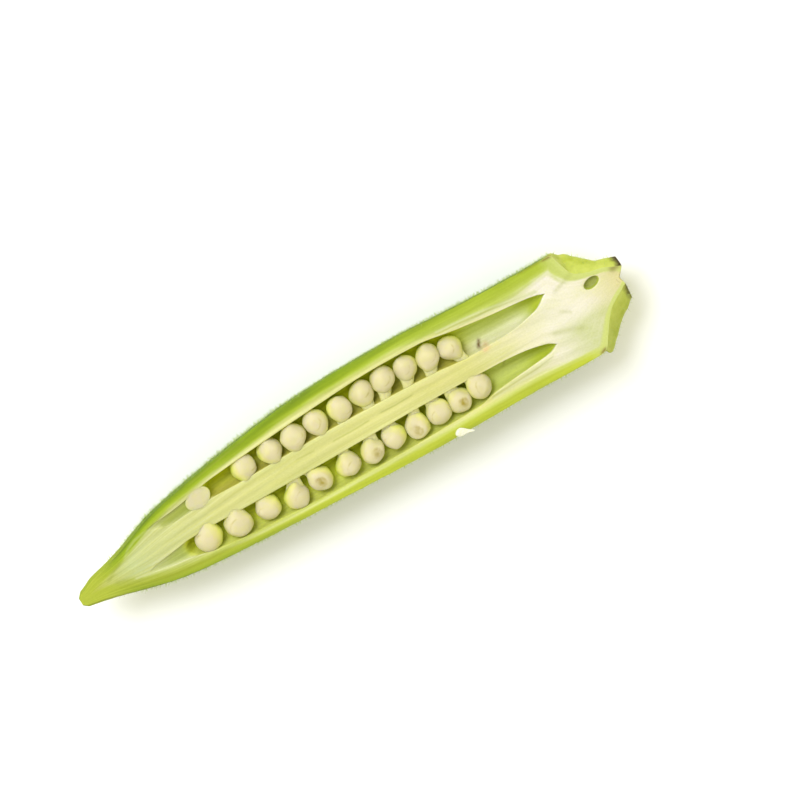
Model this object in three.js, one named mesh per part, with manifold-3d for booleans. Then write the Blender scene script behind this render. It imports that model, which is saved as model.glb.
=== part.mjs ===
// Half of a fresh okra pod, cut lengthwise and lying on its ribbed back with the cut face up.
// Millimetres. While the pod is shaped, x runs from the tip to the stem, y across the cut face,
// and z = 0 is the plane of the cut. The finished half has its origin in the middle of its underside.

import * as THREE from "three";
import { mergeVertices } from "three/addons/utils/BufferGeometryUtils.js";
import Module from "manifold-3d";

const wasm = await Module();
wasm.setup();

// The whole half
const POD_LENGTH = 115;
const FLESH_COLOUR = 0xc3d06a;
const FLESH_ROUGHNESS = 0.55;

// The edges of the cut face at each distance from the tip: [x, far edge, near edge]
const CUT_EDGES = [
  [0, 1.1, -0.9],
  [1.8, 1.7, -1.2],
  [3.6, 2.5, -1.6],
  [7.2, 3.4, -2.6],
  [10.8, 4.5, -3.7],
  [14.4, 5.9, -4.8],
  [18, 7.2, -5.6],
  [21.7, 8.1, -6.2],
  [29, 9.5, -6.9],
  [40, 11.2, -7.7],
  [51, 12.4, -8.3],
  [62, 12.8, -8.9],
  [72, 12.7, -9.3],
  [81, 12.1, -9.4],
  [90, 11.5, -9.5],
  [98.5, 11.2, -9.8],
  [103.6, 11.1, -9.9],
  [104.7, 10.9, -9.7],
  [105.5, 8.4, -9.1],
  [106.3, 6.3, -7.9],
  [107.3, 5.5, -6.4],
  [108.4, 5.0, -4.8],
  [110, 4.5, -3.1],
  [111.7, 4.1, -2.0],
  [113.4, 3.3, -1.2],
  [POD_LENGTH, 2.6, -0.7],
];

// How deep the half is below the cut: [x, depth]. It is deepest under its own weight's centre.
const DEPTHS = [
  [0, 1.3],
  [3.6, 2.7],
  [7.2, 3.9],
  [10.8, 5.1],
  [20, 7.9],
  [29, 9.9],
  [40, 11.5],
  [51, 12.4],
  [63, 12.8],
  [75, 12.5],
  [88, 12.0],
  [98, 11.8],
  [103.6, 11.6],
  [106.5, 11.1],
  [108.3, 10.5],
  [110.5, 9.5],
  [112.7, 8.4],
  [POD_LENGTH, 7.3],
];

// How far the skin stands out below the edges of the cut: [x, swell]. The cut runs high over the
// cap, so that the cap's green sides show outside the cut face.
const SIDE_SWELLS = [
  [0, 0.25],
  [3.6, 0.3],
  [20, 0.3],
  [40, 0.25],
  [75, 0.2],
  [98, 0.2],
  [103.6, 0.2],
  [104.7, 0.3],
  [105.5, 1.5],
  [106.3, 2.75],
  [107.3, 3.35],
  [108.4, 3.4],
  [110, 2.95],
  [111.7, 2.35],
  [113.4, 2.4],
  [POD_LENGTH, 2.4],
];

// How far the cap and stub lean towards the near side below the cut: [x, lean]
const CAP_LEANS = [
  [0, 0],
  [104.7, 0],
  [106.3, 0.05],
  [107.3, 0.1],
  [108.4, 0.3],
  [110, 0.46],
  [111.7, 0.6],
  [113.4, 0.5],
  [POD_LENGTH, 0.45],
];
const LEAN_DEPTH = 4;

// The ribs along the back, with the two that the cut runs beside
const RIB_ANGLES = [12, -56, -124, -192];
const RIB_HEIGHT = 0.15;
const RIB_HALF_WIDTH = 16;
const CAP_RIB_SHARE = 0.35;
const CAP_START = 103.6;
const CAP_LENGTH = POD_LENGTH - CAP_START;
const REST_FLATTENING = 0.4;
const NOSE_LENGTH = 1.2;
const NOSE_BLUNTNESS = 0.3;
const STUB_SLANT = 0.5;

// The two seed chambers that the cut opens: [x, edge by the wall, edge by the column, depth]
const FAR_CHAMBER = [
  [17, 5.7, 5.1, 0.1],
  [22, 6.0, 4.0, 0.5],
  [29, 7.1, 4.3, 0.6],
  [30.5, 7.4, 4.3, 3.2],
  [36, 7.9, 4.1, 3.4],
  [43, 8.4, 4.1, 3.5],
  [54, 9.1, 4.0, 3.5],
  [66, 9.6, 3.6, 3.5],
  [76, 9.3, 3.1, 3.5],
  [83, 8.1, 2.4, 3.4],
  [90, 7.1, 2.4, 3.4],
  [97, 6.3, 3.4, 2.4],
  [100.4, 5.6, 5.1, 0.4],
];
const NEAR_CHAMBER = [
  [13.5, -1.9, -1.3, 0.1],
  [18, -2.8, -0.7, 0.5],
  [21, -3.2, -0.3, 0.7],
  [22.5, -3.6, -0.1, 3.0],
  [27, -4.6, -0.1, 3.4],
  [36, -5.6, -0.4, 3.5],
  [54, -6.5, -0.7, 3.5],
  [68, -6.7, -0.8, 3.5],
  [80, -6.6, -1.1, 3.5],
  [84, -5.8, -1.3, 3.4],
  [88, -5.4, -1.5, 3.4],
  [92, -5.1, -1.9, 3.0],
  [96, -4.7, -2.8, 1.8],
  [97.8, -4.2, -3.5, 0.4],
];
const CHAMBER_STEPS = 16;
const CHAMBER_SIDES = 6;

// The seeds: each row starts with its first seed, and the pitch shrinks towards the stem.
// The far row skips the second place, and its first seed was sliced off level in solid flesh.
// The first few seeds of a row are plumper.
const SEED_RADIUS = 2.35;
const PLUMP_SEEDS = 3;
const SEED_DEPTH = 1.4;
const SLICED_SEED_DEPTH = 1.95;
const SEED_WANDER = 0.45;
const STALK_RADIUS = 0.9;
const STALK_LEAN = 1.6;
const STALK_ROOT = 1.2;
const STALK_ROOT_DEPTH = 1.1;
const HOLLOW_RADIUS = 1.1;
const FAR_ROW = {
  first: 27.4, second: 37.9, pitch: 5.28, shrink: 0.06, count: 10, plumpness: 0.04, chamber: FAR_CHAMBER,
};
const NEAR_ROW = {
  first: 25.6, pitch: 6.14, shrink: 0.094, count: 12, plumpness: 0.12, chamber: NEAR_CHAMBER,
};
const FIRST_HOLLOW_SEED = 4;

// The small oval hole in the cap's flesh and the pit in the stub's cut end
const CAP_HOLE = { at: [108.7, 2.7, 0], radii: [1.65, 1.0, 1.8] };
const STUB_PIT = { at: [POD_LENGTH + 0.2, 0.6, -1.2], radii: [1.0, 1.2, 2.0] };

// Steps along the pod and round its skin
const BODY_STEPS = 36;
const CAP_STEPS = 10;
const SKIN_SIDES = 30;

// A value between the stations of a list, on a smooth curve that never overshoots them.
function along(stations, x, column = 1) {
  const last = stations.length - 1;
  const place = stations.findIndex((station) => station[0] > x);
  const k = place < 0 ? last - 1 : Math.max(0, place - 1);
  const rise = (i) => (stations[i + 1][column] - stations[i][column]) / (stations[i + 1][0] - stations[i][0]);
  const slope = (i) => {
    if (i === 0) return rise(0);
    if (i === last) return rise(last - 1);
    const before = rise(i - 1);
    const after = rise(i);
    return before * after <= 0 ? 0 : (2 * before * after) / (before + after);
  };
  const width = stations[k + 1][0] - stations[k][0];
  const t = THREE.MathUtils.clamp((x - stations[k][0]) / width, 0, 1);
  const start = (1 + 2 * t) * (1 - t) ** 2 * stations[k][column] + t * (1 - t) ** 2 * width * slope(k);
  const end = t * t * (3 - 2 * t) * stations[k + 1][column] + t * t * (t - 1) * width * slope(k + 1);
  return start + end;
}

// The skin's distance from the pod's own middle, as a share of its plain radius.
function ribbed(degrees, x) {
  const onCap = THREE.MathUtils.smoothstep(x, CAP_START - 2, CAP_START + 4);
  const height = RIB_HEIGHT * THREE.MathUtils.lerp(1, CAP_RIB_SHARE, onCap);
  const swell = (rib) => Math.exp(-(((degrees - rib) / RIB_HALF_WIDTH) ** 2));
  return 1 + height * RIB_ANGLES.reduce((sum, rib) => sum + swell(rib), 0);
}

// One outline across the pod: round the back from the far cut edge to the near one.
function podRing(x) {
  const nose = Math.sqrt(Math.min(1, NOSE_BLUNTNESS + x / NOSE_LENGTH));
  const far = along(CUT_EDGES, x, 1);
  const near = along(CUT_EDGES, x, 2);
  const middle = (far + near) / 2;
  const cutHalf = ((far - near) / 2) * nose;
  const skinHalf = cutHalf + along(SIDE_SWELLS, x) * nose;
  const cutRadians = Math.acos(cutHalf / skinHalf);
  const cutAngle = THREE.MathUtils.radToDeg(cutRadians);
  const across = skinHalf / ribbed(cutAngle, x);
  const above = ribbed(cutAngle, x) * Math.sin(cutRadians);
  const down = (along(DEPTHS, x) * nose) / (above + ribbed(-90, x));
  const lowest = REST_FLATTENING - Math.max(...DEPTHS.map((station) => station[1]));
  const onStub = THREE.MathUtils.smoothstep(x, POD_LENGTH - 1, POD_LENGTH);
  const ring = [];
  for (let side = 0; side <= SKIN_SIDES; side += 1) {
    const degrees = cutAngle - (side / SKIN_SIDES) * (180 + 2 * cutAngle);
    const radians = THREE.MathUtils.degToRad(degrees);
    const reach = ribbed(degrees, x);
    const z = Math.max(down * (reach * Math.sin(radians) - above), lowest);
    const aside = along(CAP_LEANS, x) * LEAN_DEPTH * Math.tanh(Math.min(z, 0) / LEAN_DEPTH);
    const out = across * reach * Math.cos(radians);
    const slant = (onStub * STUB_SLANT * (skinHalf - out)) / (2 * skinHalf);
    ring.push([x - slant, middle + out + aside, side % SKIN_SIDES === 0 ? 0 : z]);
  }
  return ring;
}

// One outline across a chamber: a trough between its two edges, open above the cut.
function chamberRing(chamber, x) {
  const wall = along(chamber, x, 1);
  const column = along(chamber, x, 2);
  const depth = along(chamber, x, 3);
  const ring = [[x, wall, 1]];
  for (let side = 0; side <= CHAMBER_SIDES; side += 1) {
    const turn = (Math.PI * side) / CHAMBER_SIDES;
    const y = (wall + column) / 2 + ((wall - column) / 2) * Math.cos(turn);
    ring.push([x, y, -depth * Math.sin(turn) ** 0.6]);
  }
  ring.push([x, column, 1]);
  return wall > column ? ring : ring.reverse();
}

// A closed geometry through a row of outlines that all have the same number of points.
function loft(rings) {
  const count = rings[0].length;
  const points = rings.flat();
  const faces = [];
  for (let k = 0; k < rings.length - 1; k += 1) {
    for (let i = 0; i < count; i += 1) {
      const a = k * count + i;
      const b = k * count + ((i + 1) % count);
      faces.push(a, a + count, b, b, a + count, b + count);
    }
  }
  for (const [k, forward] of [[0, false], [rings.length - 1, true]]) {
    const middle = points.length;
    points.push([0, 1, 2].map((axis) => rings[k].reduce((sum, p) => sum + p[axis], 0) / count));
    for (let i = 0; i < count; i += 1) {
      const a = k * count + i;
      const b = k * count + ((i + 1) % count);
      faces.push(middle, ...(forward ? [b, a] : [a, b]));
    }
  }
  const geometry = new THREE.BufferGeometry();
  geometry.setAttribute("position", new THREE.Float32BufferAttribute(points.flat(), 3));
  geometry.setIndex(faces);
  return geometry;
}

// A closed geometry as a solid that can be joined and cut.
function solid(geometry) {
  geometry.deleteAttribute("normal");
  geometry.deleteAttribute("uv");
  const merged = mergeVertices(geometry, 1e-4);
  const mesh = new wasm.Mesh({
    numProp: 3,
    vertProperties: new Float32Array(merged.attributes.position.array),
    triVerts: new Uint32Array(merged.index.array),
  });
  return new wasm.Manifold(mesh);
}

function podBody() {
  const places = [];
  for (let k = 0; k < BODY_STEPS; k += 1) places.push(CAP_START * (k / BODY_STEPS) ** 1.25);
  for (let k = 0; k <= CAP_STEPS; k += 1) places.push(CAP_START + (CAP_LENGTH * k) / CAP_STEPS);
  return solid(loft(places.map(podRing)));
}

function chamberSpace(chamber) {
  const start = chamber[0][0];
  const length = chamber[chamber.length - 1][0] - start;
  const places = chamber.map((station) => station[0]);
  for (let k = 1; k < CHAMBER_STEPS; k += 1) places.push(start + (length * k) / CHAMBER_STEPS);
  places.sort((a, b) => a - b);
  const apart = places.filter((x, k) => k === 0 || x - places[k - 1] > 0.3);
  return solid(loft(apart.map((x) => chamberRing(chamber, x))));
}

function ellipsoid({ at, radii }) {
  const geometry = new THREE.SphereGeometry(1, 12, 6);
  geometry.scale(...radii);
  geometry.translate(...at);
  return solid(geometry);
}

// Small repeatable draws between -1 and 1, so that the seeds sit a little unevenly.
let drawState = 11;
function draw() {
  drawState = (drawState * 16807) % 2147483647;
  return (2 * drawState) / 2147483647 - 1;
}

// Each seed's middle and radius, its stalk's root in the column, and whether the cut left it hollow.
function seedPlaces({ first, second, pitch, shrink, count, plumpness, chamber }) {
  const places = [];
  if (second !== undefined) {
    const middle = (along(chamber, first, 1) + along(chamber, first, 2)) / 2;
    const at = [first, middle - 0.4, -SLICED_SEED_DEPTH];
    places.push({ at, radius: SEED_RADIUS, root: null, hollow: false });
  }
  for (let k = 0; k < count; k += 1) {
    const x = (second ?? first) + pitch * k - shrink * k * k + 0.5 * SEED_WANDER * draw();
    const wall = along(chamber, x, 1);
    const column = along(chamber, x, 2);
    const inward = Math.sign(column - wall);
    const y = (wall + column) / 2 + SEED_WANDER * draw();
    const root = [x + STALK_LEAN * draw(), column + inward * STALK_ROOT, -STALK_ROOT_DEPTH];
    const hollow = second === undefined && k >= FIRST_HOLLOW_SEED && k % 2 === 0;
    const radius = SEED_RADIUS * (1 + plumpness * Math.max(0, 1 - k / PLUMP_SEEDS));
    places.push({ at: [x, y, -SEED_DEPTH + 0.3 * draw()], radius, root, hollow });
  }
  return places;
}

function seed({ at, radius, root, hollow }) {
  const ball = new THREE.SphereGeometry(radius, 10, 7);
  ball.translate(...at);
  let shape = solid(ball);
  if (root) {
    const start = new THREE.Vector3(...at);
    const way = new THREE.Vector3(...root).sub(start);
    const stalk = new THREE.CylinderGeometry(STALK_RADIUS, STALK_RADIUS * 1.5, way.length(), 7);
    const up = new THREE.Vector3(0, 1, 0);
    stalk.applyQuaternion(new THREE.Quaternion().setFromUnitVectors(up, way.clone().normalize()));
    stalk.translate(...start.addScaledVector(way, 0.5).toArray());
    shape = shape.add(solid(stalk));
  }
  if (hollow) {
    const above = [at[0] + 0.2, at[1], at[2] + radius];
    shape = shape.subtract(ellipsoid({ at: above, radii: [HOLLOW_RADIUS, HOLLOW_RADIUS, 0.9] }));
  }
  return shape;
}

function okraPodHalf() {
  let half = podBody();
  half = half.subtract(chamberSpace(FAR_CHAMBER)).subtract(chamberSpace(NEAR_CHAMBER));
  half = half.subtract(ellipsoid(CAP_HOLE)).subtract(ellipsoid(STUB_PIT));
  for (const place of [...seedPlaces(FAR_ROW), ...seedPlaces(NEAR_ROW)]) half = half.add(seed(place));

  const { vertProperties, triVerts, numProp } = half.getMesh();
  const positions = [];
  for (let i = 0; i < vertProperties.length; i += numProp) {
    positions.push(vertProperties[i], vertProperties[i + 1], vertProperties[i + 2]);
  }
  const geometry = new THREE.BufferGeometry();
  geometry.setAttribute("position", new THREE.Float32BufferAttribute(positions, 3));
  geometry.setIndex(Array.from(triVerts));
  geometry.computeBoundingBox();
  const { min, max } = geometry.boundingBox;
  geometry.translate(-(min.x + max.x) / 2, -(min.y + max.y) / 2, -min.z);
  geometry.computeVertexNormals();

  const flesh = new THREE.MeshStandardMaterial({ color: FLESH_COLOUR, roughness: FLESH_ROUGHNESS });
  const mesh = new THREE.Mesh(geometry, flesh);
  mesh.name = "okra_pod_half";
  return mesh;
}

const okraPod = new THREE.Group();
okraPod.name = "okra_pod";
okraPod.add(okraPodHalf());

export default okraPod;
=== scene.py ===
import math

import bpy
import numpy as np
from mathutils import Matrix, Vector


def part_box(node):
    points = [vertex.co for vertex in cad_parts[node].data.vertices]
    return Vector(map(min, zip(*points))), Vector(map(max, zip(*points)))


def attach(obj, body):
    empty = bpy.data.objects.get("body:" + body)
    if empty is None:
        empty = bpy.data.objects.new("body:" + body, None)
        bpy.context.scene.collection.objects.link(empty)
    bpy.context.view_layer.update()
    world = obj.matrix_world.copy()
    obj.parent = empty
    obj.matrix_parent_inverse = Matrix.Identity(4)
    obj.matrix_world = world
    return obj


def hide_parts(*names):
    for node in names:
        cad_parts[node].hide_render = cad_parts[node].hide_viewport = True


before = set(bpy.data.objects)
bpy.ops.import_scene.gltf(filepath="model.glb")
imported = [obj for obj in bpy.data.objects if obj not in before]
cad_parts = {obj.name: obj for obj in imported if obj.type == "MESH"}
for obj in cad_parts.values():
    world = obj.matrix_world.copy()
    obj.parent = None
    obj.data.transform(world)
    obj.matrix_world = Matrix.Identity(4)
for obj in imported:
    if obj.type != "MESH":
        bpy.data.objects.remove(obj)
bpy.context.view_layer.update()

# The pod half itself: wall, ribs, cap, stem stub and central column grew as one piece. A knife
# opened it along two of its seed chambers, and it lies on its ribbed back with the cut face up.
# Sizes are in millimetres from the tip (x), across the cut (y) and above the plane of the cut (z).
MM = 0.001
low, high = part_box("okra_pod_half")
POD_LENGTH = (high.x - low.x) / MM
# At each x: the cut's far and near edge, the depth under the cut, how far the skin swells past the
# cut's edges, how much the cap leans to the near side, and a chamber's wall edge, column edge and
# depth
CUT_EDGES = (
    (0, 1.1, -0.9),
    (1.8, 1.7, -1.2),
    (3.6, 2.5, -1.6),
    (7.2, 3.4, -2.6),
    (10.8, 4.5, -3.7),
    (14.4, 5.9, -4.8),
    (18, 7.2, -5.6),
    (21.7, 8.1, -6.2),
    (29, 9.5, -6.9),
    (40, 11.2, -7.7),
    (51, 12.4, -8.3),
    (62, 12.8, -8.9),
    (72, 12.7, -9.3),
    (81, 12.1, -9.4),
    (90, 11.5, -9.5),
    (98.5, 11.2, -9.8),
    (103.6, 11.1, -9.9),
    (104.7, 10.9, -9.7),
    (105.5, 8.4, -9.1),
    (106.3, 6.3, -7.9),
    (107.3, 5.5, -6.4),
    (108.4, 5.0, -4.8),
    (110, 4.5, -3.1),
    (111.7, 4.1, -2.0),
    (113.4, 3.3, -1.2),
    (115, 2.6, -0.7),
)
DEPTHS = (
    (0, 1.3),
    (3.6, 2.7),
    (7.2, 3.9),
    (10.8, 5.1),
    (20, 7.9),
    (29, 9.9),
    (40, 11.5),
    (51, 12.4),
    (63, 12.8),
    (75, 12.5),
    (88, 12.0),
    (98, 11.8),
    (103.6, 11.6),
    (106.5, 11.1),
    (108.3, 10.5),
    (110.5, 9.5),
    (112.7, 8.4),
    (115, 7.3),
)
SIDE_SWELLS = (
    (0, 0.25),
    (3.6, 0.3),
    (20, 0.3),
    (40, 0.25),
    (75, 0.2),
    (98, 0.2),
    (103.6, 0.2),
    (104.7, 0.3),
    (105.5, 1.5),
    (106.3, 2.75),
    (107.3, 3.35),
    (108.4, 3.4),
    (110, 2.95),
    (111.7, 2.35),
    (113.4, 2.4),
    (115, 2.4),
)
CAP_LEANS = (
    (0, 0),
    (104.7, 0),
    (106.3, 0.05),
    (107.3, 0.1),
    (108.4, 0.3),
    (110, 0.46),
    (111.7, 0.6),
    (113.4, 0.5),
    (115, 0.45),
)
FAR_CHAMBER = (
    (17, 5.7, 5.1, 0.1),
    (22, 6.0, 4.0, 0.5),
    (29, 7.1, 4.3, 0.6),
    (30.5, 7.4, 4.3, 3.2),
    (36, 7.9, 4.1, 3.4),
    (43, 8.4, 4.1, 3.5),
    (54, 9.1, 4.0, 3.5),
    (66, 9.6, 3.6, 3.5),
    (76, 9.3, 3.1, 3.5),
    (83, 8.1, 2.4, 3.4),
    (90, 7.1, 2.4, 3.4),
    (97, 6.3, 3.4, 2.4),
    (100.4, 5.6, 5.1, 0.4),
)
NEAR_CHAMBER = (
    (13.5, -1.9, -1.3, 0.1),
    (18, -2.8, -0.7, 0.5),
    (21, -3.2, -0.3, 0.7),
    (22.5, -3.6, -0.1, 3.0),
    (27, -4.6, -0.1, 3.4),
    (36, -5.6, -0.4, 3.5),
    (54, -6.5, -0.7, 3.5),
    (68, -6.7, -0.8, 3.5),
    (80, -6.6, -1.1, 3.5),
    (84, -5.8, -1.3, 3.4),
    (88, -5.4, -1.5, 3.4),
    (92, -5.1, -1.9, 3.0),
    (96, -4.7, -2.8, 1.8),
    (97.8, -4.2, -3.5, 0.4),
)
RIB_ANGLES = (12, -56, -124, -192)
RIB_HEIGHT = 0.15
RIB_HALF_WIDTH = 16
CAP_START = 103.6
CAP_RIB_SHARE = 0.35
CAP_RIBS_FADE = (CAP_START - 2, CAP_START + 4)
REST_FLATTENING = 0.4
NOSE_LENGTH = 1.2
NOSE_BLUNTNESS = 0.3
LEAN_DEPTH = 4
CLOSED_GAP = 0.15
CLOSED_GAP_SHARE = 0.04
THINNEST_WALL = 0.02
CHAMBER_END_ROUNDING = 1.3
CHAMBER_FLOOR_CURVE = 0.6
HOLE_AT = (108.7, 2.7)
HOLE_RADII = (1.65, 1.0)
HOLE_SLANT = 0.12
HOLE_RIM = (0.72, 1.02)
HOLE_DEPTH = 1.2
# How many points a section has round the back, and on the cut: wall, chamber, column, chamber, wall
SKIN_SIDES = 96
TOP_SIDES = (26, 32, 34, 32, 28)

# Skin grows a little uneven: soft dents up to 0.08 mm deep and 2 to 6 mm long, none on the cut. Each
# wave's numbers are its radians per mm along x, y and z and its start.
DENT_WAVES = ((1.1, 0.9, 0, 0), (2.3, -1.7, 1.3, 0), (0.7, 0, 2.9, 2))
DENT_HALF_DEPTH = 0.04
DENT_CENTRE = (1.5, -4)
DENTS_START = (0.5, 4)

# The stub broke off unevenly: notched in its middle, shorter on the near side, longest far off
STUB_END_LENGTH = 2.5
STUB_LONG_FROM = (1.1, 2.8)
STUB_SHORTER_BY = 1.0
STUB_NOTCH = {"at": 0.7, "half_width": 0.8, "length": 0.5, "depth": 5}
STUB_END_SUNK = 0.4

# Where colours change on the cut, each in a soft step from one place to another
LINING_STARTS = (24, 34)
LINING_ENDS = (76, 82)
LOW_CAP_ACROSS = (-0.5, 4.5)
LOW_CAP_ALONG = (96, 103)
FAR_CHAMBER_END = (93, 98)
NEAR_CHAMBER_END = (89, 95)
FAR_GROOVE_END = (27.5, 30.5)
NEAR_GROOVE_END = (20, 22.5)

# The chambers' lining: how far off their edges it shows and how strongly, and its half width
WALL_LINING = (0.4, 0.55)
COLUMN_LINING = (0.3, 0.4)
LINING_HALF_WIDTH = 0.3

# How deep a place is where it counts as wholly hollow, and how hollow the hole in the cap counts
FULL_HOLLOW = 4
HOLE_HOLLOW = 0.7

# Marks on the cut, each a line through places (x, y), with its half width and its strength
PALE_LINES = (
    (0.2, 0.5, (10.7, -1.3), (15, -2.2), (20.4, -3.1), (23.6, -3.8)),
    (0.16, 0.4, (14.5, -0.7), (18, -0.3), (21.5, 0.0)),
    (0.25, 0.2, (11, 3.1), (12.3, 4.1), (14, 4.9), (19, 5.6)),
    (0.2, 0.75, (80, 9.5), (86.6, 8.9), (90.3, 8.35), (95.7, 7.4), (99, 6.8)),
    (0.16, 0.8, (79, 8.9), (86.6, 8.15), (90.3, 7.65), (95.7, 6.85), (99.4, 6.4)),
    (0.15, 0.65, (84, -5.9), (90, -5.65), (94, -5.5), (97, -5.0)),
    (0.15, 0.7, (83, -6.6), (88, -6.45), (92, -6.3), (95.5, -5.9)),
)
OLIVE_LINES = (
    (0.16, 0.4, (80, 9.2), (86.6, 8.5), (90.3, 8.0), (95.7, 7.1), (99, 6.6)),
    (0.13, 0.45, (83, -6.2), (88, -6.05), (92, -5.95), (96, -5.5)),
    (0.4, 0.3, (106.1, 6.1), (104.7, 5.65), (103.2, 5.05), (102.2, 4.8)),
    (0.5, 0.3, (98.4, -1.9), (100.2, -2.4), (102, -3.1), (103.2, -3.6)),
    (0.12, 0.5, (28, 8.75), (33, 9.6), (37, 10.15), (40.5, 10.6)),
    # Painted shade: an olive shadow in the far chamber's shallow groove, before the sliced seed
    (0.5, 0.6, (20, 4.7), (23, 4.9), (25.2, 5.1)),
    (0.12, 0.5, (54, 1.9), (57.5, 1.75), (61.4, 1.8)),
    (0.12, 0.55, (64, 1.95), (67, 1.75), (70.5, 1.8)),
    (0.12, 0.35, (46.5, 2.4), (50, 2.2)),
    (0.5, 0.35, (7.5, -0.3), (9.5, -1.0), (11.5, -1.6)),
    (0.35, 0.45, (6.3, 0.9), (8.0, 1.9), (9.6, 2.6)),
    (0.3, 0.25, (101.3, 1.0), (102.8, 0.0)),
)
BROWN_LINES = (
    (0.28, 1.0, (85.4, 2.7), (86.0, 3.5)),
    (0.18, 0.35, (87.7, -2.8), (88.6, -1.8)),
    (0.35, 0.9, (103.1, 11.0), (104.3, 10.9)),
    (0.22, 0.5, (98, 11.15), (103.1, 11.0)),
    (0.4, 0.8, (104.2, -9.7), (104.9, -9.4)),
    (0.35, 0.6, (113.6, -2.6), (114.2, -3.4)),
    (0.7, 0.55, (113.3, 3.0), (114.8, 3.2)),
    (0.16, 0.4, (113.2, 0.8), (113.8, 0.2)),
)
PINK_LINES = ((0.5, 0.8, (86.1, 2.1), (86.7, 2.4)),)


def along(stations, x, column=1):
    """Values between the stations of a list, on a smooth curve that never overshoots them."""
    places = np.array([station[0] for station in stations], float)
    values = np.array([station[column] for station in stations], float)
    rise = np.diff(values) / np.diff(places)
    slope = np.empty_like(values)
    slope[0], slope[-1] = rise[0], rise[-1]
    before, after = rise[:-1], rise[1:]
    total = np.where(before * after > 0, before + after, 1.0)
    slope[1:-1] = np.where(before * after > 0, 2 * before * after / total, 0.0)
    x = np.asarray(x, float)
    k = np.clip(np.searchsorted(places, x, side="right") - 1, 0, len(places) - 2)
    width = places[k + 1] - places[k]
    t = np.clip((x - places[k]) / width, 0, 1)
    start = (1 + 2 * t) * (1 - t) ** 2 * values[k] + t * (1 - t) ** 2 * width * slope[k]
    end = t * t * (3 - 2 * t) * values[k + 1] + t * t * (t - 1) * width * slope[k + 1]
    return start + end


def smooth_step(value, start, end):
    t = np.clip((value - start) / (end - start), 0, 1)
    return t * t * (3 - 2 * t)


def line_distance(x, y, line):
    """How far each place is from a line through given places, in the plane of the cut."""
    nearest = np.full(np.shape(x), 99.0)
    for (ax, ay), (bx, by) in zip(line[:-1], line[1:]):
        wide, high = bx - ax, by - ay
        t = np.clip(((x - ax) * wide + (y - ay) * high) / (wide * wide + high * high), 0, 1)
        nearest = np.minimum(nearest, np.hypot(x - ax - t * wide, y - ay - t * high))
    return nearest


def marked(x, y, lines):
    """How strongly each place on the cut is marked by any of the lines, from 0 to 1."""
    marks = [s * np.exp(-((line_distance(x, y, line) / w) ** 2)) for w, s, *line in lines]
    return np.max(marks, axis=0)


def rib_swell(degrees):
    return sum(np.exp(-(((degrees - rib) / RIB_HALF_WIDTH) ** 2)) for rib in RIB_ANGLES)


def ribbed(degrees, x):
    height = RIB_HEIGHT * (1 + (CAP_RIB_SHARE - 1) * smooth_step(x, *CAP_RIBS_FADE))
    return 1 + height * rib_swell(degrees)


def skin_ring(x):
    """The outline round the back at x, from the far cut edge to the near one: y, z and the ribs."""
    nose = math.sqrt(min(1, NOSE_BLUNTNESS + x / NOSE_LENGTH))
    far, near = along(CUT_EDGES, x, 1), along(CUT_EDGES, x, 2)
    cut_half = (far - near) / 2 * nose
    skin_half = cut_half + along(SIDE_SWELLS, x) * nose
    cut_angle = math.degrees(math.acos(cut_half / skin_half))
    across = skin_half / ribbed(cut_angle, x)
    above = ribbed(cut_angle, x) * math.sin(math.radians(cut_angle))
    down = along(DEPTHS, x) * nose / (above + ribbed(-90, x))
    lowest = REST_FLATTENING - max(station[1] for station in DEPTHS)
    degrees = cut_angle - np.linspace(0, 180 + 2 * cut_angle, SKIN_SIDES + 1)
    reach = ribbed(degrees, x)
    z = np.maximum(down * (reach * np.sin(np.radians(degrees)) - above), lowest)
    aside = along(CAP_LEANS, x) * LEAN_DEPTH * np.tanh(np.minimum(z, 0) / LEAN_DEPTH)
    y = (far + near) / 2 + across * reach * np.cos(np.radians(degrees)) + aside
    z[0] = z[-1] = 0
    return y, z, rib_swell(degrees)


def chamber_edges(chamber, x):
    """A chamber's two edges at x. Past its ends the edges run on as a closed seam."""
    inside = min(max(x, chamber[0][0]), chamber[-1][0])
    wall, column = along(chamber, inside, 1), along(chamber, inside, 2)
    if inside == x:
        return wall, column
    far, near = along(CUT_EDGES, x, 1), along(CUT_EDGES, x, 2)
    end_far, end_near = along(CUT_EDGES, inside, 1), along(CUT_EDGES, inside, 2)
    share = (far - near) / (end_far - end_near)
    gap = min(CLOSED_GAP, CLOSED_GAP_SHARE * (far - near)) * (1 if wall > column else -1)
    seam = (far + near) / 2 + ((wall + column) / 2 - (end_far + end_near) / 2) * share
    return seam + gap, seam - gap


def chamber_fall(chamber, x, turn):
    """How deep a chamber's floor lies across its width at x. Both of its ends are rounded."""
    corner = CHAMBER_END_ROUNDING * np.cos(turn) ** 2
    first, last = chamber[0][0], chamber[-1][0]
    depth = np.minimum(along(chamber, x - corner, 3), along(chamber, x + corner, 3))
    is_open = (x - corner >= first) & (x + corner <= last)
    return np.where(is_open, depth, 0.0) * np.maximum(np.sin(turn), 0) ** CHAMBER_FLOOR_CURVE


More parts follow.
